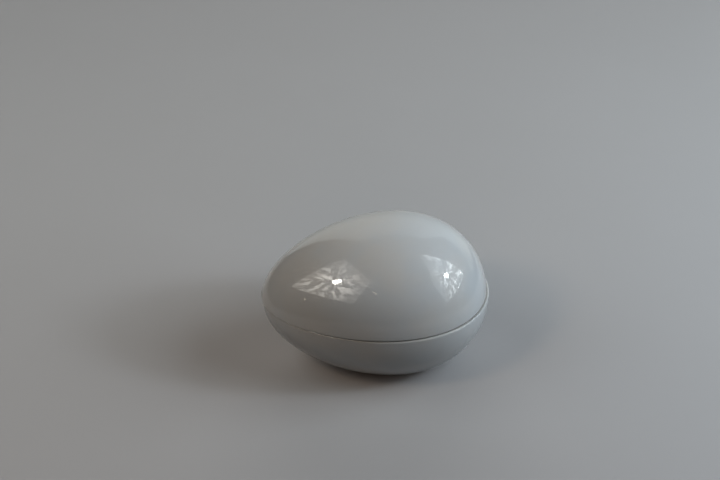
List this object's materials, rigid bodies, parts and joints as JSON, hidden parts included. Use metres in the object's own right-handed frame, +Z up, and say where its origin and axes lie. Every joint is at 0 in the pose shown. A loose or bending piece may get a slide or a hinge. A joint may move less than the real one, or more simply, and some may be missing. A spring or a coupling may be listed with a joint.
{
  "type": "trinket box",
  "caption": "Glazed porcelain trinket box shaped like an egg lying on its side, with a lift-off lid that drops over a locating lip on the base.",
  "frame": {"origin": "under the middle of the box, on the surface that the foot ring stands on", "axes": "+X along the egg towards its blunt end, +Y across it, +Z up, the way the lid lifts"},
  "size_m": [0.111, 0.08, 0.0763],
  "materials": {
    "base_porcelain": "clear gloss glaze on white porcelain, with a bare fired foot ring and rim",
    "lid_porcelain": "clear gloss glaze on white porcelain, with a bare fired rim"
  },
  "bodies": {
    "base": {"base": "base_porcelain"},
    "lid": {"lid": "lid_porcelain"}
  },
  "joints": [
    {"name": "lid_lift", "type": "slide", "parent": "base", "child": "lid", "axis": [0, 0, 1], "range_m": [0, 0.1]}
  ]
}
